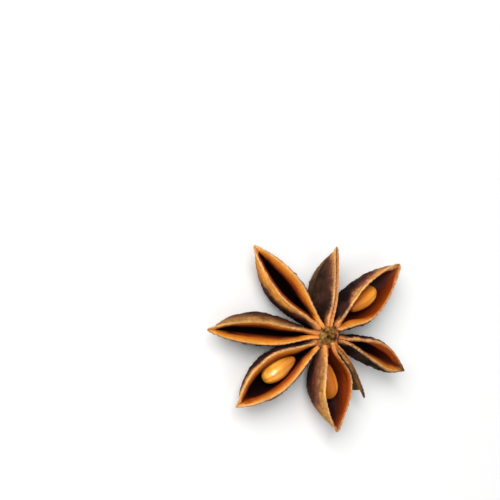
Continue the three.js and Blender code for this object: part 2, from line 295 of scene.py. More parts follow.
    # The rim, the slanted face and the mouth of the hollow.
    edge = add(t, TIMES, rim_width, 0.2)
    edge = add(t, MATH, edge, RIM_EDGE, operation="MINIMUM")
    gold_end = add(t, PLUS, given["Gold from"], GOLD_FADE)
    gold_in = add(t, MAP, u, given["Gold from"], gold_end, 0.0, 1.0)
    gold_end = add(t, PLUS, given["Gold to"], GOLD_FADE)
    gold_out = add(t, MAP, u, given["Gold to"], gold_end, 1.0, 0.0)
    gold_share = add(t, TIMES, gold_in, gold_out)
    slope = add(t, MAP, gold_share, 0.0, 1.0, NO_GOLD_SLOPE, 1.0)
    slope = add(t, TIMES, slope, side_values["slope"])
    slope_width = add(t, TIMES, rim_width, SLOPE_SHARE)
    slope_width = add(t, MATH, slope_width, slope, operation="MINIMUM")
    by_tip = add(t, MAP, u, 0.82, 1.0, 1.0, 0.4)
    slope_width = add(t, TIMES, slope_width, by_tip)
    mouth = add(t, MINUS, rim_width, edge)
    mouth = add(t, MINUS, mouth, slope_width)
    mouth_share = add(t, MAP, openness, 0.0, 1.0, 0.3, 1.0)
    mouth = add(t, TIMES, mouth, mouth_share)
    closing = add(t, MAP, u, 0.8, 0.99, 1.0, 0.0)
    mouth = add(t, TIMES, mouth, closing)
    mouth = add(t, MATH, mouth, 0.04, operation="MAXIMUM")
    slope_drop = add(t, TIMES, slope, SLOPE_FALL)
    slope_share = add(t, MAP, openness, 0.0, 0.6, 0.2, 1.0)
    slope_drop = add(t, TIMES, slope_drop, slope_share)
    deepest_slope = add(t, TIMES, depth, 0.3)
    slope_drop = add(t, MATH, slope_drop, deepest_slope, operation="MINIMUM")
    hollow = add(t, TIMES, depth, 1 - FLOOR_SHARE)
    shoaling = add(t, MAP, u, 0.75, 1.0, 1.0, 0.5)
    hollow = add(t, TIMES, hollow, shoaling)
    hollow = add(t, MINUS, hollow, slope_drop)
    hollow = add(t, TIMES, hollow, openness)
    groove = add(t, TIMES, depth, 0.08)
    hollow = add(t, MATH, hollow, groove, operation="MAXIMUM")

    # Across: up the flank, then back in over the rim, down the slope and round the hollow.
    bulge = add(t, CURVE, 1.0, h, points=sampled(lambda x: 2.1 * x ** 0.55 * (1 - x) ** 0.75))
    bulge = add(t, TIMES, bulge, belly)
    flank = add(t, MATH, h, 0.9, operation="POWER")
    flank = add(t, TIMES, flank, rim_width)
    across = add(t, PLUS, bulge, flank)
    edge_part = add(t, TIMES, edge, over_rim)
    across = add(t, MINUS, across, edge_part)
    slope_span = add(t, MINUS, rim_width, edge)
    slope_span = add(t, MINUS, slope_span, mouth)
    slope_part = add(t, TIMES, slope_span, down_slope)
    across = add(t, MINUS, across, slope_part)
    wall = add(t, CURVE, 1.0, down_hollow,
               points=sampled(lambda x: 1 - math.sqrt(max(1 - x ** 2.5, 0))))
    wall = add(t, TIMES, wall, mouth)
    across = add(t, MINUS, across, wall)
    undercut = add(t, CURVE, 1.0, down_hollow,
                   points=sampled(lambda x: HOLLOW_BULGE * math.sin(math.pi * x)))
    undercut = add(t, TIMES, undercut, openness)
    undercut = add(t, TIMES, undercut, closing)
    across = add(t, PLUS, across, undercut)

    # Height: from the keel to the rim and down again inside.
    flank_drop = add(t, MINUS, 1.0, h)
    flank_drop = add(t, TIMES, flank_drop, depth)
    height = add(t, MINUS, rim, flank_drop)
    crown = add(t, CURVE, 1.0, over_rim,
                points=sampled(lambda x: 0.06 * math.sin(math.pi * x)))
    height = add(t, PLUS, height, crown)
    slope_fall = add(t, TIMES, slope_drop, down_slope)
    height = add(t, MINUS, height, slope_fall)
    hollow_fall = add(t, TIMES, hollow, down_hollow)
    height = add(t, MINUS, height, hollow_fall)

    # The first and last rows close up to a point inside the wall.
    is_first = add(t, MATH, row, 0.0005, operation="LESS_THAN")
    is_last = add(t, MATH, row, 0.9995, operation="GREATER_THAN")
    is_end = add(t, PLUS, is_first, is_last)
    middle = add(t, TIMES, depth, -0.5)
    middle = add(t, PLUS, middle, arch)
    height = add(t, "ShaderNodeMix", is_end, height, middle)
    across = add(t, "ShaderNodeMix", is_end, across, 0.0)

    # The side, the roll about a line under the rims and the sideways bend.
    side = add(t, MAP, is_left, 0.0, 1.0, -1.0, 1.0)
    across = add(t, TIMES, across, side)
    point = add(t, "ShaderNodeCombineXYZ", along, across, height)
    pivot = add(t, TIMES, given["Depth"], -ROLL_CENTRE)
    pivot = add(t, "ShaderNodeCombineXYZ", 0.0, 0.0, pivot)
    roll = add(t, MATH, given["Roll"], operation="RADIANS")
    rolled = add(t, MAP, u, 0.0, TWIST_END, 0.0, 1.0, interpolation_type="SMOOTHSTEP")
    roll = add(t, TIMES, roll, rolled)
    point = add(t, "ShaderNodeVectorRotate", point, pivot, (1.0, 0.0, 0.0), roll)
    bend = add(t, MATH, along, given["Length"], operation="DIVIDE")
    bend = add(t, MATH, bend, 2.0, operation="POWER")
    bend = add(t, TIMES, bend, given["Bend"])
    bend = add(t, "ShaderNodeCombineXYZ", 0.0, bend, 0.0)
    point = add(t, VECTOR, point, bend, operation="ADD")

    # How far each point lies from the rim in millimetres, outside below and inside above zero.
    # In a closed seam the inside counts sooner, because hardly any light gets in.
    slope_length = add(t, TIMES, slope_drop, 1.3)
    slope_length = add(t, TIMES, slope_length, down_slope)
    edge_length = add(t, TIMES, edge, over_rim)
    closed_in = add(t, MAP, openness, 0.0, 0.5, 5.0, 1.0)
    inward = add(t, TIMES, hollow_fall, closed_in)
    inward = add(t, MATH, inward, shoaling, operation="DIVIDE")
    inward = add(t, PLUS, inward, slope_length)
    inward = add(t, PLUS, inward, edge_length)
    from_rim = add(t, MINUS, inward, flank_drop)
    below_peg = add(t, MAP, peg, 0.0, 0.9, 0.8, 0.0)
    from_rim = add(t, MINUS, from_rim, below_peg)

    # The tan band outside is narrow at the column and wider towards the tip.
    tan_along = add(t, CURVE, 1.0, u, points=sampled(
        lambda x: 0.12 + 0.38 * eased(min(max((x - 0.12) / 0.43, 0), 1), 1)))
    tan_along = add(t, MATH, tan_along, given["Root tan"], operation="MAXIMUM")
    tip_tan = add(t, MAP, u, 0.6, 0.95, 0.0, 0.5)
    tan_along = add(t, MATH, tip_tan, given["Tip tan"], tan_along, operation="MULTIPLY_ADD")
    tan_width = add(t, TIMES, tan_along, 2.0)
    tan_width = add(t, TIMES, tan_width, side_values["tan"])
    gold_width = add(t, TIMES, gold_share, side_values["gold"])
    gold_width = add(t, TIMES, gold_width, by_tip)
    # Painted shade of the hollow: the warm depth sets how soon the red-brown wall turns dark, and
    # near the column, where the valves shade it, it turns dark sooner.
    warm_end = add(t, PLUS, given["Warm from"], 0.4)
    column_shade_scale = add(t, MAP, u, given["Warm from"], warm_end, 0.2, 1.0)
    warm_depth = add(t, TIMES, column_shade_scale, given["Warm depth"])
    cooling = add(t, MAP, u, 0.6, 0.95, 1.0, given["Warm at tip"])
    warm_depth = add(t, TIMES, warm_depth, cooling)
    at_tip = add(t, MAP, u, 0.8, 0.98, 0.0, 1.0, interpolation_type="SMOOTHSTEP")
    at_tip = add(t, TIMES, at_tip, given["Tip"])
    green = add(t, MAP, u, 0.1, 0.55, 0.3, 1.0)
    green = add(t, TIMES, green, given["Green"])
    keel = add(t, MAP, h, 0.14, 0.42, 1.0, 0.0)
    keel_along = add(t, MAP, u, 0.4, 0.75, 0.0, 1.0)
    keel = add(t, TIMES, keel, keel_along)
    grain = add(t, TIMES, w, 30.0)
    grain = add(t, TIMES, grain, side)
    strand = add(t, TIMES, given["Number"], 7.0)
    grain = add(t, "ShaderNodeCombineXYZ", along, grain, strand)

    # Dried skin: lumps, dents and creases outside, fine cross folds at the rims, and less of
    # it where the wall is thin.
    outside = add(t, MAP, from_rim, -0.05, -0.8, 0.0, 1.0, interpolation_type="SMOOTHSTEP")
    outside = add(t, TIMES, outside, fullness)
    lumps = add(t, NOISE, point, given["Number"], 0.45, 2.0, noise_dimensions="4D")
    lumps = add(t, MAP, lumps, 0.25, 0.75, -0.15, 0.15)
    dents = add(t, NOISE, point, given["Number"], 1.1, 2.0, noise_dimensions="4D")
    dents = add(t, MAP, dents, 0.3, 0.7, -0.1, 0.08)
    creases = add(t, NOISE, point, given["Number"], 0.7, 3.0, noise_dimensions="4D",
                  Distortion=0.9)
    creases = add(t, MINUS, creases, 0.5)
    creases = add(t, MATH, creases, operation="ABSOLUTE")
    creases = add(t, MAP, creases, 0.0, 0.1, -1.0, 0.3)
    creases = add(t, TIMES, creases, given["Wrinkle depth"])
    skin = add(t, PLUS, lumps, dents)
    skin = add(t, PLUS, skin, creases)
    skin = add(t, TIMES, skin, outside)
    folds = add(t, VECTOR, grain, (1.9, 0.25, 1.0), operation="MULTIPLY")
    folds = add(t, NOISE, folds, 1.0, 2.0)
    folds = add(t, MAP, folds, 0.3, 0.7, -0.09, 0.09)
    by_rim = add(t, MAP, from_rim, -1.2, -0.2, 0.3, 1.0)
    smoother = add(t, MAP, from_rim, 0.2, 0.8, 1.0, 0.25)
    folds = add(t, TIMES, folds, by_rim)
    folds = add(t, TIMES, folds, smoother)
    skin = add(t, PLUS, skin, folds)

    shell = grid
    marks = [from_rim, skin, tan_width, gold_width, warm_depth, green, at_tip, keel, 0.0]
    for name, value in zip(MARKS, marks):
        shell = add(t, STORE, shell, None, name, value)
    shell = add(t, STORE, shell, None, "grain", grain, data_type="FLOAT_VECTOR")
    shell = add(t, "GeometryNodeSetPosition", shell, None, point)
    shell = add(t, "GeometryNodeMergeByDistance", shell, None, SAME_PLACE)
    raised = add(t, "GeometryNodeInputNamedAttribute", "relief", data_type="FLOAT")
    away = add(t, "GeometryNodeInputNormal")
    push = add(t, VECTOR, away, raised, operation="SCALE")
    shell = add(t, "GeometryNodeSetPosition", shell, None, None, push)

    azimuth = add(t, MATH, given["Azimuth"], operation="RADIANS")
    droop = add(t, MATH, given["Droop"], operation="RADIANS")
    facing = add(t, "ShaderNodeCombineXYZ", 0.0, droop, azimuth)
    facing = add(t, "FunctionNodeEulerToRotation", facing)
    shell = add(t, "GeometryNodeTransform", shell, (0.0, 0.0, RIM_HEIGHT), facing)
    t.links.new(shell, t.nodes.new("NodeGroupOutput").inputs[0])
    return t


COLUMN_RADIUS = 2.3
COLUMN_TOP_RADIUS = 1.5
COLUMN_TOP_RECESS = 0.3     # under the rims
RIDGE_HEIGHT = 0.1          # of the eight low ridges on the column's top, one to a follicle
MOAT_RADIUS = 2.05          # the dark gap between the column's top and the pegs
MOAT_DEPTH = 0.5
TOP_UNEVENNESS = 0.12       # how far the top is from round, as a share of its radius
PIT_RADIUS = 0.3
PIT_DEPTH = 0.35
STALK_RADIUS = 1.35
COLUMN_GRID = 65, 97        # points round the column and along its outline
OUTLINE_SCALE = 10          # a curve holds values from 0 to 1, so the outline is divided by this


def column_tree():
    """The central column: a grid rolled round the axis, with a pitted top and the stalk below."""
    t, _ = new_tree("column", {})
    top = RIM_HEIGHT - COLUMN_TOP_RECESS
    outline = [(0, 0), (STALK_RADIUS * 0.9, 0), (STALK_RADIUS, 0.03 * top),
               (STALK_RADIUS * 0.93, 0.12 * top), (STALK_RADIUS * 1.25, 0.26 * top),
               (COLUMN_RADIUS, 0.42 * top), (COLUMN_RADIUS, 0.7 * top),
               (MOAT_RADIUS * 1.15, top - MOAT_DEPTH), (MOAT_RADIUS * 0.9, top - MOAT_DEPTH),
               (COLUMN_TOP_RADIUS, top - 0.12), (COLUMN_TOP_RADIUS * 0.8, top),
               (PIT_RADIUS, top - 0.1), (PIT_RADIUS * 0.6, top - PIT_DEPTH),
               (0, top - PIT_DEPTH)]
    lengths = [0.0]
    for (r0, z0), (r1, z1) in zip(outline, outline[1:]):
        lengths.append(lengths[-1] + math.hypot(r1 - r0, z1 - z0))

    def outline_at(share, axis):
        reach = share * lengths[-1]
        for i in range(len(outline) - 1):
            if reach <= lengths[i + 1] or i == len(outline) - 2:
                step = min((reach - lengths[i]) / (lengths[i + 1] - lengths[i]), 1)
                return outline[i][axis] + step * (outline[i + 1][axis] - outline[i][axis])

    grid = add(t, "GeometryNodeMeshGrid", 1.0, 1.0, *COLUMN_GRID)
    place = add(t, "GeometryNodeInputPosition")
    split = add(t, "ShaderNodeSeparateXYZ", place).node.outputs
    turn = add(t, MAP, split[0], -0.5, 0.5, 0.0, 2 * math.pi)
    share = add(t, PLUS, split[1], 0.5)
    outlined = []
    for axis in (0, 1):
        points = sampled(lambda x: outline_at(x, axis) / OUTLINE_SCALE, 64)
        drawn = add(t, CURVE, 1.0, share, points=points)
        outlined.append(add(t, TIMES, drawn, OUTLINE_SCALE))
    radius, height = outlined
    side_end, moat_end = lengths[6] / lengths[-1], lengths[8] / lengths[-1]
    waves = add(t, TIMES, turn, 2.0)
    waves = add(t, MATH, waves, operation="COSINE")
    wavelets = add(t, TIMES, turn, 7.0)
    wavelets = add(t, MATH, wavelets, operation="SINE")
    waves = add(t, MATH, wavelets, 0.6, waves, operation="MULTIPLY_ADD")
    uneven = add(t, MAP, share, side_end, moat_end, 0.0, TOP_UNEVENNESS)
    waves = add(t, MATH, waves, uneven, 1.0, operation="MULTIPLY_ADD")
    radius = add(t, TIMES, radius, waves)
    point = add(t, "ShaderNodeCombineXYZ", radius, 0.0, height)
    point = add(t, "ShaderNodeVectorRotate", point, (0.0, 0.0, 0.0), (0.0, 0.0, 1.0), turn)
    on_top = add(t, MAP, share, moat_end, moat_end + 0.04, 0.0, 1.0)
    ridges = add(t, TIMES, turn, len(FOLLICLES))
    ridges = add(t, MATH, ridges, operation="COSINE")
    ridges = add(t, TIMES, ridges, RIDGE_HEIGHT)
    ridges = add(t, TIMES, ridges, on_top)
    to_centre = add(t, MAP, radius, 0.0, COLUMN_TOP_RADIUS, 0.0, 1.0)
    ridges = add(t, TIMES, ridges, to_centre)
    lift = add(t, "ShaderNodeCombineXYZ", 0.0, 0.0, ridges)
    point = add(t, VECTOR, point, lift, operation="ADD")
    from_rim = add(t, MAP, share, side_end, moat_end, -1.6, -0.3)
    shell = grid
    for name, value in zip(MARKS, [from_rim, 0.0, 0.45, 0.2, 1.0, 0.0, 0.0, 0.0, on_top]):
        shell = add(t, STORE, shell, None, name, value)
    grain = add(t, VECTOR, point, (10.0, 0.0, 0.0), operation="ADD")
    shell = add(t, STORE, shell, None, "grain", grain, data_type="FLOAT_VECTOR")
    shell = add(t, "GeometryNodeSetPosition", shell, None, point)
    shell = add(t, "GeometryNodeMergeByDistance", shell, None, SAME_PLACE)
    rough = add(t, NOISE, None, 1.9, 3.0)
    rough = add(t, MAP, rough, 0.3, 0.7, -0.17, 0.17)
    away = add(t, "GeometryNodeInputNormal")
    push = add(t, VECTOR, away, rough, operation="SCALE")
    shell = add(t, "GeometryNodeSetPosition", shell, None, None, push)
    t.links.new(shell, t.nodes.new("NodeGroupOutput").inputs[0])
    return t


def blank_material(name):
    """A material without nodes, and its tree."""
    m = bpy.data.materials.new(name)
    m.use_nodes = True
    m.node_tree.nodes.clear()
    return m, m.node_tree


def pericarp_material():
    """Dried woody fruit wall. Outside it is dull and wrinkled, with a tan band that falls off
    into dark purple-brown skin, darker in the creases as painted shade. The split rim is pale,
    its colour also a painted highlight, and inside a golden slanted face turns into a smooth
    red-brown wall with a low waxy sheen that darkens, partly as painted shade, to a dark floor."""
    m, t = blank_material("dried_pericarp")
    read = {name: add(t, "ShaderNodeAttribute", attribute_name=name, out=2) for name in MARKS}
    grain = add(t, "ShaderNodeAttribute", attribute_name="grain", out=1)
    place = add(t, "ShaderNodeTexCoord", out=3)
    reach = add(t, "ShaderNodeSeparateXYZ", grain)
    blotches = add(t, NOISE, place, 700.0, 3.0, 0.6)
    patches = add(t, NOISE, place, 240.0, 3.0)
    along_grain = add(t, "ShaderNodeMapping", grain, None, None, (0.3, 1.7, 1.0))
    streaks = add(t, NOISE, along_grain, 1.2, 3.0)

    # Outside: the tan band, pinkish in places, then red-brown and dark purple-brown.
    wander = add(t, MAP, blotches, 0.3, 0.7, -0.25, 0.3)
    drift = add(t, MAP, patches, 0.3, 0.7, -0.35, 0.5)
    outward = add(t, PLUS, wander, drift)
    outward = add(t, MINUS, outward, read["from_rim"])
    outward = add(t, MATH, outward, read["tan"], operation="DIVIDE")
    outward = add(t, MAP, outward, 0.0, 4.0, 0.0, 1.0)
    outer = add(t, "ShaderNodeValToRGB", outward, stops=(
        (0.0, "CE9450"), (0.09, "C08440"), (0.19, "A06640"), (0.31, "78422E"), (0.46, "431D13"),
        (0.7, "22100D"), (1.0, "180B09")))
    pinkish = add(t, MAP, patches, 0.45, 0.6, 0.0, 0.2)
    outer = add(t, "ShaderNodeMix", pinkish, outer, "7A4638", data_type="RGBA")
    # Painted shade in the creases: the skin is darker where the relief sinks and lighter on the
    # raised lumps.
    uneven = add(t, MAP, read["relief"], -0.15, 0.15, 0.6, 1.35)
    outer = add(t, "ShaderNodeMix", 1.0, outer, uneven, data_type="RGBA", blend_type="MULTIPLY")

    # Inside: the golden slanted face, and the red-brown wall that darkens with depth: partly its
    # own colour, partly painted shade of the hollow.
    shift = add(t, MAP, streaks, 0.3, 0.7, -0.25, 0.25)
    inward = add(t, PLUS, read["from_rim"], shift)
    across_gold = add(t, MATH, inward, read["gold"], operation="DIVIDE")
    golden = add(t, "ShaderNodeValToRGB", across_gold, stops=(
        (0.0, "E49C4C"), (0.3, "DA882E"), (0.65, "BE6818"), (1.0, "8C4010")))
    # Painted shade: the wall darkens with depth into the hollow, partly its own colour.
    hollow_shade_share = add(t, MATH, inward, read["warm"], operation="DIVIDE")
    hollow_shade_share = add(t, MAP, hollow_shade_share, 0.0, 1.5, 0.0, 1.0)
    wall = add(t, "ShaderNodeValToRGB", hollow_shade_share, stops=(
        (0.0, "A84E10"), (0.25, "82320B"), (0.5, "4C1909"), (0.7, "260C07"), (1.0, "140806")))
    past_gold = add(t, MINUS, inward, read["gold"])
    past_gold = add(t, MAP, past_gold, -0.5, 0.25, 0.0, 1.0, interpolation_type="SMOOTHSTEP")
    inner = add(t, "ShaderNodeMix", past_gold, golden, wall, data_type="RGBA")
    is_inside = add(t, MAP, read["from_rim"], 0.0, 0.1, 0.0, 1.0)
    skin = add(t, "ShaderNodeMix", is_inside, outer, inner, data_type="RGBA")

    # The blunt inner ends of the lips are warmer, the keel is worn paler, and some follicles
    # are greener or more golden, or have a paler or darker tip than the others.
    from_edge = add(t, MATH, read["from_rim"], operation="ABSOLUTE")
    bright = add(t, MAP, read["green"], 0.0, 1.0, 1.0, 0.1)
    at_root = add(t, MAP, reach, 2.3, 4.6, 0.8, 0.0)
    on_lip = add(t, MAP, from_edge, 0.3, 1.0, 1.0, 0.0)
    at_root = add(t, TIMES, at_root, on_lip)
    at_root = add(t, TIMES, at_root, bright)
    skin = add(t, "ShaderNodeMix", at_root, skin, "E68E48", data_type="RGBA")
    is_skin = add(t, MINUS, 1.0, is_inside)
    green = add(t, MAP, read["green"], 0.0, 1.0, 0.0, 0.72)
    all_over = add(t, MAP, read["green"], 0.6, 1.0, 0.0, 1.0)
    all_over = add(t, MATH, all_over, is_skin, operation="MAXIMUM")
    green = add(t, TIMES, green, all_over)
    skin = add(t, "ShaderNodeMix", green, skin, "48361E", data_type="RGBA")
    golden_skin = add(t, MAP, read["green"], 0.0, -1.0, 0.0, 0.75)
    on_shoulder = add(t, MAP, outward, 0.1, 0.4, 1.0, 0.0)
    golden_skin = add(t, TIMES, golden_skin, on_shoulder)
    golden_skin = add(t, TIMES, golden_skin, is_skin)
    skin = add(t, "ShaderNodeMix", golden_skin, skin, "D88A2C", data_type="RGBA")
    worn = add(t, MAP, blotches, 0.33, 0.57, 0.25, 0.8)
    worn = add(t, TIMES, worn, read["keel"])
    skin = add(t, "ShaderNodeMix", worn, skin, "A87850", data_type="RGBA")
    pale_tip = add(t, MAP, read["tip"], 0.0, 1.0, 0.0, 0.8)
    is_outside = add(t, MAP, read["from_rim"], 0.05, 0.2, 1.0, 0.0)
    pale_tip = add(t, TIMES, pale_tip, is_outside)
    skin = add(t, "ShaderNodeMix", pale_tip, skin, "AE8240", data_type="RGBA")

    # The thin rim, where the wall split, is the palest of all, with short cross folds, and its
    # paleness is also a painted highlight along the crest.
    cross = add(t, "ShaderNodeMapping", grain, None, None, (2.6, 0.3, 1.0))
    cross = add(t, NOISE, cross, 1.0, 2.0)
    folds = add(t, MAP, cross, 0.42, 0.58, 0.5, 1.0)
    worn_rim = add(t, MAP, patches, 0.36, 0.56, 0.6, 1.0)
    folds = add(t, TIMES, folds, worn_rim)
    outside_rim = add(t, TIMES, read["from_rim"], -1.7)
    off_rim = add(t, MATH, read["from_rim"], outside_rim, operation="MAXIMUM")
    rim_pale_and_highlight = add(t, MAP, off_rim, 0.18, 0.42, 0.9, 0.0)
    rim_pale_and_highlight = add(t, TIMES, rim_pale_and_highlight, bright)
    rim_pale_and_highlight = add(t, TIMES, rim_pale_and_highlight, folds)
    past_peg = add(t, MAP, reach, 2.3, 5.5, 0.25, 1.0)
    rim_pale_and_highlight = add(t, TIMES, rim_pale_and_highlight, past_peg)
    skin = add(t, "ShaderNodeMix", rim_pale_and_highlight, skin, "DCA870", data_type="RGBA")
    dark_tip = add(t, MAP, read["tip"], 0.0, -1.0, 0.0, 0.8)
    skin = add(t, "ShaderNodeMix", dark_tip, skin, "2A150E", data_type="RGBA")

    # Fibres run along the follicle, and fine dark and light specks lie all over.
    fuzz = add(t, NOISE, place, 4000.0, 3.0)
    streaked = add(t, MAP, streaks, 0.3, 0.7, 0.65, 1.32)
    specked = add(t, MAP, fuzz, 0.3, 0.7, 0.82, 1.18)
    streaked = add(t, TIMES, streaked, specked)
    skin = add(t, "ShaderNodeMix", 1.0, skin, streaked, data_type="RGBA", blend_type="MULTIPLY")

    # The corky top of the column.
    cork = add(t, NOISE, place, 1000.0, 3.0)
    cork = add(t, "ShaderNodeValToRGB", cork, stops=(
        (0.37, "4A2210"), (0.46, "7A5222"), (0.57, "96763A"), (0.7, "B89858")))
    flat_place = add(t, VECTOR, place, (1000.0, 1000.0, 0.0), operation="MULTIPLY")
    off_axis = add(t, VECTOR, flat_place, operation="LENGTH")
    core = add(t, MAP, off_axis, 0.25, 0.5, 0.85, 0.0)
    cork = add(t, "ShaderNodeMix", core, cork, "3E260E", data_type="RGBA")
    skin = add(t, "ShaderNodeMix", read["column"], skin, cork, data_type="RGBA")

    # Fine wrinkles, a quarter of a millimetre apart, along and across the skin.
    bump = add(t, "ShaderNodeBump", 0.5, 0.00008, None, fuzz)
    rough = add(t, MAP, is_inside, 0.0, 1.0, 0.7, 0.45)
    surface = add(t, "ShaderNodeBsdfPrincipled", skin, None, rough, Specular_IOR_Level=0.07)
    t.links.new(bump, surface.node.inputs["Normal"])
    t.links.new(surface, t.nodes.new("ShaderNodeOutputMaterial").inputs[0])
    return m


def pod_tree(material):
    """The eight follicles and the column joined into one shell, in metres."""
    t, given = new_tree("star_anise_pod", {"Wrinkle depth": WRINKLE_DEPTH})
    follicle, column = follicle_tree(), column_tree()
    union = add(t, "GeometryNodeMeshBoolean", operation="UNION", solver="MANIFOLD").node
    loose = add(t, "GeometryNodeJoinGeometry").node
    made = [add(t, "GeometryNodeGroup", node_tree=column)]
    for number, sizes in enumerate(FOLLICLES, 1):
        made.append(add(t, "GeometryNodeGroup", node_tree=follicle, Number=number))
        inputs = made[-1].node.inputs
        for name, value in sizes.items():
            inputs[name].default_value = value
        t.links.new(given["Wrinkle depth"], inputs["Wrinkle depth"])
    for shell in made:
        t.links.new(shell, union.inputs["Mesh 2"])
        t.links.new(shell, loose.inputs[0])

    # Points made where two shells meet take their marks from the shells.
    shell = union.outputs[0]
    for name in (*MARKS, "grain"):
        kind = "FLOAT_VECTOR" if name == "grain" else "FLOAT"
        mark = add(t, "GeometryNodeInputNamedAttribute", name, data_type=kind)
        near = add(t, "GeometryNodeSampleNearestSurface", loose.outputs[0], mark, data_type=kind)
        shell = add(t, STORE, shell, None, name, near, data_type=kind)

    # The pod has settled: what would reach below the ground is flattened on it.
    place = add(t, "GeometryNodeInputPosition")
    settled = add(t, VECTOR, place, (-BEYOND, -BEYOND, 0.0), operation="MAXIMUM")
    shell = add(t, "GeometryNodeSetPosition", shell, None, settled)
    shell = add(t, "GeometryNodeTransform", shell, None, None, (MM, MM, MM))

    # The follicles' shells are wound inside out, so the joined shell is turned round. Known
    # fault: this leaves the column's own faces inside out, and some faces near it are doubled.
    shell = add(t, "GeometryNodeFlipFaces", shell)
    shell = add(t, "GeometryNodeSetShadeSmooth", shell)
    shell = add(t, "GeometryNodeRealizeInstances", shell)
    shell = add(t, "GeometryNodeSetMaterial", shell, None, material)
    t.links.new(shell, t.nodes.new("NodeGroupOutput").inputs[0])
    return t


def placed(name, data):
    """A new object in the scene."""
    thing = bpy.data.objects.new(name, data)
    bpy.context.scene.collection.objects.link(thing)
    return thing


def grown(name, tree, sizes):
    """Runs a tree with the given sizes on an empty object and keeps the result as a mesh."""
    piece = placed(name, bpy.data.meshes.new(name))
    grow = piece.modifiers.new("grow", "NODES")
    grow.node_group = tree
    for item in tree.interface.items_tree:
        if item.in_out == "INPUT":
            grow[item.identifier] = sizes[item.name]
    seen = piece.evaluated_get(bpy.context.evaluated_depsgraph_get())
    mesh = bpy.data.meshes.new_from_object(seen)
    piece.modifiers.remove(grow)
    piece.data = mesh
    mesh.name = name
    return piece


pod = grown("dried_pod", pod_tree(pericarp_material()), {"Wrinkle depth": WRINKLE_DEPTH})
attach(pod, "root")
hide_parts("pod")


# ---- The seeds -------------------------------------------------------------------------------
# Three flattened seeds stand on edge in their hollows, held by nothing. The coat is hard,
# smooth and glossy, amber brown, with a scar where the seed hung from the wall and a fine
# raised seam over its upper edge.

SEED_LENGTH = 7.1
SEED_HEIGHT = 4.9
SEED_THICKNESS = 4.1
SEED_TAPER = 0.42           # how much slimmer the end at the column is
SEED_SEAM = 0.025           # the raised seam's height
SCAR_DEPTH = 0.1
SEED_GRID = 96, 64          # segments and rings
SEEDED = [
    {"follicle": 2, "place": 0.45, "size": 0.98, "aside": 0.2, "drop": -0.35, "rim_shadow": 0.0,
     "dusty": False},
    {"follicle": 3, "place": 0.43, "size": 0.9, "aside": 0.1, "drop": 0.25, "rim_shadow": -1.2,
     "dusty": True},
    {"follicle": 6, "place": 0.5, "size": 0.96, "aside": 0.1, "drop": 0, "rim_shadow": 0.18,
     "dusty": True},
]


def seed_tree(material):
    """A flattened ovoid, narrower at the end that faces the column, where it was attached."""
    t, given = new_tree("star_anise_seed", {
        "Size": 1, "Rim shadow flank": 0, "Turn": (0, 0, 0), "Place": (0, 0, 0)})
    shell = add(t, "GeometryNodeMeshUVSphere", *SEED_GRID)
    place = add(t, "GeometryNodeInputPosition")
    split = add(t, "ShaderNodeSeparateXYZ", place).node.outputs

    # The seam runs over the top edge, and the scar is a shallow dent at the slimmer end.
    off_seam = add(t, MATH, split[0], operation="ABSOLUTE")
    seam = add(t, MAP, off_seam, 0.05, 0.14, 1.0, 0.0, interpolation_type="SMOOTHSTEP")
    on_top = add(t, MAP, split[1], 0.0, 0.3, 0.0, 1.0, interpolation_type="SMOOTHSTEP")
    seam = add(t, TIMES, seam, on_top)
    scar = add(t, MAP, split[2], -0.93, -0.975, 0.0, 1.0, interpolation_type="SMOOTHSTEP")
    swollen = add(t, NOISE, place, 1.3, 1.0)
    swollen = add(t, MAP, swollen, 0.3, 0.7, -0.04, 0.04)
    raised = add(t, TIMES, seam, SEED_SEAM)
    raised = add(t, PLUS, raised, swollen)
    sunk = add(t, TIMES, scar, SCAR_DEPTH)
    raised = add(t, MINUS, raised, sunk)

    # Painted shadow: one flank, up to the seam, can be darker, as if shaded by the valve's rim.
    rim_shadow = add(t, TIMES, split[0], given["Rim shadow flank"])
    rim_shadow = add(t, MAP, rim_shadow, 0.0, 0.15, 0.0, 1.0, interpolation_type="SMOOTHSTEP")

    fullness = add(t, MAP, split[2], -1.0, 1.0, 1 - SEED_TAPER, 1.0)
    thick = add(t, TIMES, split[0], fullness)
    high = add(t, TIMES, split[1], fullness)
    point = add(t, "ShaderNodeCombineXYZ", split[2], thick, high)
    half = (SEED_LENGTH / 2, SEED_THICKNESS / 2, SEED_HEIGHT / 2)
    point = add(t, VECTOR, point, half, operation="MULTIPLY")
    for name, value in (("seam", seam), ("scar", scar), ("rim_shadow", rim_shadow), ("raised", raised)):
        shell = add(t, STORE, shell, None, name, value)
    shell = add(t, STORE, shell, None, "grain", place, data_type="FLOAT_VECTOR")
    shell = add(t, "GeometryNodeSetPosition", shell, None, point)
    raised = add(t, "GeometryNodeInputNamedAttribute", "raised", data_type="FLOAT")
    away = add(t, "GeometryNodeInputNormal")
    push = add(t, VECTOR, away, raised, operation="SCALE")
    shell = add(t, "GeometryNodeSetPosition", shell, None, None, push)
    size = add(t, VECTOR, (MM, MM, MM), given["Size"], operation="SCALE")
    turn = add(t, "FunctionNodeEulerToRotation", given["Turn"])
    shell = add(t, "GeometryNodeTransform", shell, given["Place"], turn, size)
    shell = add(t, "GeometryNodeSetShadeSmooth", shell)
    shell = add(t, "GeometryNodeRealizeInstances", shell)
    shell = add(t, "GeometryNodeSetMaterial", shell, None, material)
    t.links.new(shell, t.nodes.new("NodeGroupOutput").inputs[0])
    return t


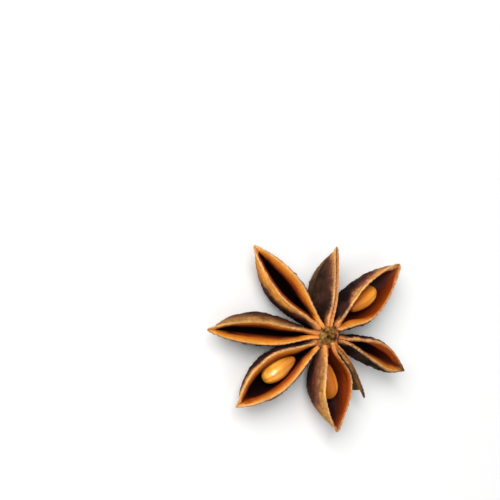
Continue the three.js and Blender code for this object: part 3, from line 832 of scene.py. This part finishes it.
def seed_coat_material(name, roughness, gloss, specular):
    """Hard seed coat, polished as it grew: amber with faint cloudy streaks, browner at the
    slim end, with a dull pale scar. It has a clear, slightly soft highlight, and hardly any
    where dust from the wall lies on it."""
    m, t = blank_material(name)
    grain = add(t, "ShaderNodeAttribute", attribute_name="grain", out=1)
    seam, scar, rim_shadow = [add(t, "ShaderNodeAttribute", attribute_name=mark, out=2)
                         for mark in ("seam", "scar", "rim_shadow")]
    stretched = add(t, "ShaderNodeMapping", grain, None, None, (2.0, 2.0, 0.8))
    clouds = add(t, NOISE, stretched, 1.6, 3.0)
    clouds = add(t, MAP, clouds, 0.35, 0.65, 0.0, 1.0)
    coat = add(t, "ShaderNodeMix", clouds, "EE9226", "FFB846", data_type="RGBA")
    lengthwise = add(t, "ShaderNodeSeparateXYZ", grain, out=2)
    slim_end = add(t, MAP, lengthwise, 0.4, -0.9, 0.0, 0.9)
    coat = add(t, "ShaderNodeMix", slim_end, coat, "B85C14", data_type="RGBA")
    # Painted shadow of the valve's rim over one flank.
    rim_shadow = add(t, TIMES, rim_shadow, 0.85)
    coat = add(t, "ShaderNodeMix", rim_shadow, coat, "B2560E", data_type="RGBA")
    seam_share = add(t, TIMES, seam, 0.35)
    coat = add(t, "ShaderNodeMix", seam_share, coat, "A65A14", data_type="RGBA")
    coat = add(t, "ShaderNodeMix", scar, coat, "8A5426", data_type="RGBA")
    rough = add(t, MAP, scar, 0.0, 1.0, roughness, 0.8)
    surface = add(t, "ShaderNodeBsdfPrincipled", coat, None, rough, 1.5, Coat_Weight=gloss,
                  Coat_Roughness=0.25, Coat_IOR=1.6, Specular_IOR_Level=specular)
    t.links.new(surface, t.nodes.new("ShaderNodeOutputMaterial").inputs[0])
    return m


clean_seed = seed_tree(seed_coat_material("amber_seed_coat", roughness=0.3, gloss=0.6,
                                          specular=0.5))
dusty_seed = seed_tree(seed_coat_material("dusty_seed_coat", roughness=0.4, gloss=0.08,
                                          specular=0.12))
for number, seeded in enumerate(SEEDED, 1):
    sizes = FOLLICLES[seeded["follicle"]]
    share = seeded["place"]
    along = INNER_END + (sizes["Length"] - INNER_END) * share
    peak = sizes["Widest at"]
    warped = 0.5 * share / peak if share < peak else 0.5 + 0.5 * (share - peak) / (1 - peak)
    gape = swell(warped, 0.5, 0, 1.85, 1) ** sizes.get("Late opening", 1)
    sideways = (sizes["Left gape"] - sizes["Right gape"]) * gape / 2 + seeded["aside"]
    pivot = ROLL_CENTRE * sizes["Depth"]
    rise = sizes["Rise"] * math.sin(math.pi * share)
    height = rise - seeded["drop"] - SEED_HEIGHT * seeded["size"] / 2 + pivot
    roll = Euler((math.radians(sizes["Roll"]), 0, 0))
    local = Vector((0, sideways, height))
    local.rotate(roll)
    local += Vector((along, sizes["Bend"] * (along / sizes["Length"]) ** 2, -pivot))
    facing = Euler((0, math.radians(sizes["Droop"]), math.radians(sizes["Azimuth"])))
    local.rotate(facing)
    turn = (facing.to_matrix() @ roll.to_matrix()).to_euler()
    seed = grown(f"ripe_seed_{number}", dusty_seed if seeded["dusty"] else clean_seed, {
        "Size": float(seeded["size"]),
        "Rim shadow flank": seeded["rim_shadow"],
        "Turn": tuple(turn),
        "Place": tuple((local + Vector((0, 0, RIM_HEIGHT))) * MM),
    })
    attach(seed, "root")
    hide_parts(f"seed_{number}")


# ---- Ground, light and camera ----------------------------------------------------------------
# A plain white ground under soft, broad studio light, and a long lens from 34 degrees off the
# star's axis.

GROUND_REACH = 1.5          # metres, as are the distances of the camera and the lights
LIGHT_DISTANCE = 0.6
TILT = math.radians(34)
HEADING = math.radians(182)
DISTANCE = 0.4
NEAREST_SEEN = 0.01
PX_PER_MM = 5.9
FRAME_PX = 500
STAR_CENTRE_PX = Vector((329.6, 336.8))
SENSOR_MM = 36
SKY_STRENGTH = 0.32


def ground_material():
    """Matt white paper, with no sheen to speak of."""
    m, t = blank_material("white_paper")
    surface = add(t, "ShaderNodeBsdfPrincipled", "F4F4F2", Roughness=0.9)
    t.links.new(surface, t.nodes.new("ShaderNodeOutputMaterial").inputs[0])
    return m


ground_mesh = bpy.data.meshes.new("paper_ground")
corners = [(x * GROUND_REACH, y * GROUND_REACH, 0)
           for x, y in ((-1, -1), (1, -1), (1, 1), (-1, 1))]
ground_mesh.from_pydata(corners, [], [(0, 1, 2, 3)])
ground_mesh.materials.append(ground_material())
ground = placed("paper_ground", ground_mesh)

star_centre = Vector((0, 0, RIM_HEIGHT * MM))
towards = Vector((math.sin(TILT) * math.cos(HEADING), math.sin(TILT) * math.sin(HEADING),
                  math.cos(TILT)))
tip_axis = Vector((-math.sin(HEADING), math.cos(HEADING), 0))
orient = Matrix.Rotation(TILT, 4, tip_axis)
right, up = orient @ Vector((1, 0, 0)), orient @ Vector((0, 1, 0))
off = (STAR_CENTRE_PX - Vector((FRAME_PX / 2, FRAME_PX / 2))) / PX_PER_MM * MM
aim = star_centre - right * off.x + up * off.y
camera = placed("camera", bpy.data.cameras.new("camera"))
camera.matrix_world = Matrix.Translation(aim + towards * DISTANCE) @ orient
camera.data.sensor_width = SENSOR_MM
camera.data.lens = SENSOR_MM * PX_PER_MM * DISTANCE * 1000 / FRAME_PX
camera.data.clip_start = NEAREST_SEEN
bpy.context.scene.camera = camera


def soft_box(name, azimuth, elevation, size, power):
    """A square soft box that faces the pod from an azimuth and an elevation in degrees."""
    lamp = bpy.data.lights.new(name, "AREA")
    lamp.shape = "SQUARE"
    lamp.size = size
    lamp.energy = power
    holder = placed(name, lamp)
    aside, above = math.radians(azimuth), math.radians(elevation)
    toward_lamp = Vector((math.cos(above) * math.cos(aside), math.cos(above) * math.sin(aside),
                          math.sin(above)))
    holder.location = toward_lamp * LIGHT_DISTANCE
    holder.rotation_mode = "QUATERNION"
    holder.rotation_quaternion = toward_lamp.to_track_quat("Z", "Y")


soft_box("left_key", azimuth=150, elevation=48, size=0.45, power=4.5)
soft_box("front_fill", azimuth=260, elevation=60, size=0.5, power=0.6)
studio = bpy.data.worlds.new("studio")
studio.use_nodes = True
sky = studio.node_tree.nodes["Background"].inputs
sky["Color"].default_value, sky["Strength"].default_value = linear("F2F4F8"), SKY_STRENGTH
bpy.context.scene.world = studio
bpy.context.scene.view_settings.view_transform = "Standard"
